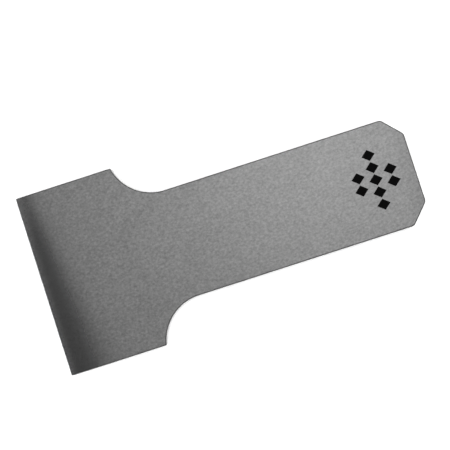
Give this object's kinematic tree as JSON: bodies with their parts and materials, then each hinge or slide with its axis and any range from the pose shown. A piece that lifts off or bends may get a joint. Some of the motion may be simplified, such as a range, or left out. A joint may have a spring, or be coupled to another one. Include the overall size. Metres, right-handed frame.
{
  "type": "hand plane iron",
  "caption": "Flat T-shaped iron for a full-width hand plane, with a wide bevelled cutting edge, round shoulders and a narrow shank with a clipped tail.",
  "frame": {"origin": "middle of the underside's outline box, on the surface that the iron lies on", "axes": "+X from the cutting edge to the tail, +Y across the iron, +Z out of the marked face"},
  "size_m": [0.1064, 0.0508, 0.0032],
  "materials": {
    "ground_tool_steel": "Fine matte ground tool steel, lapped smooth along the cutting edge, with a black etched ornament near the tail."
  },
  "bodies": {
    "root": {"blade": "ground_tool_steel"}
  },
  "joints": []
}
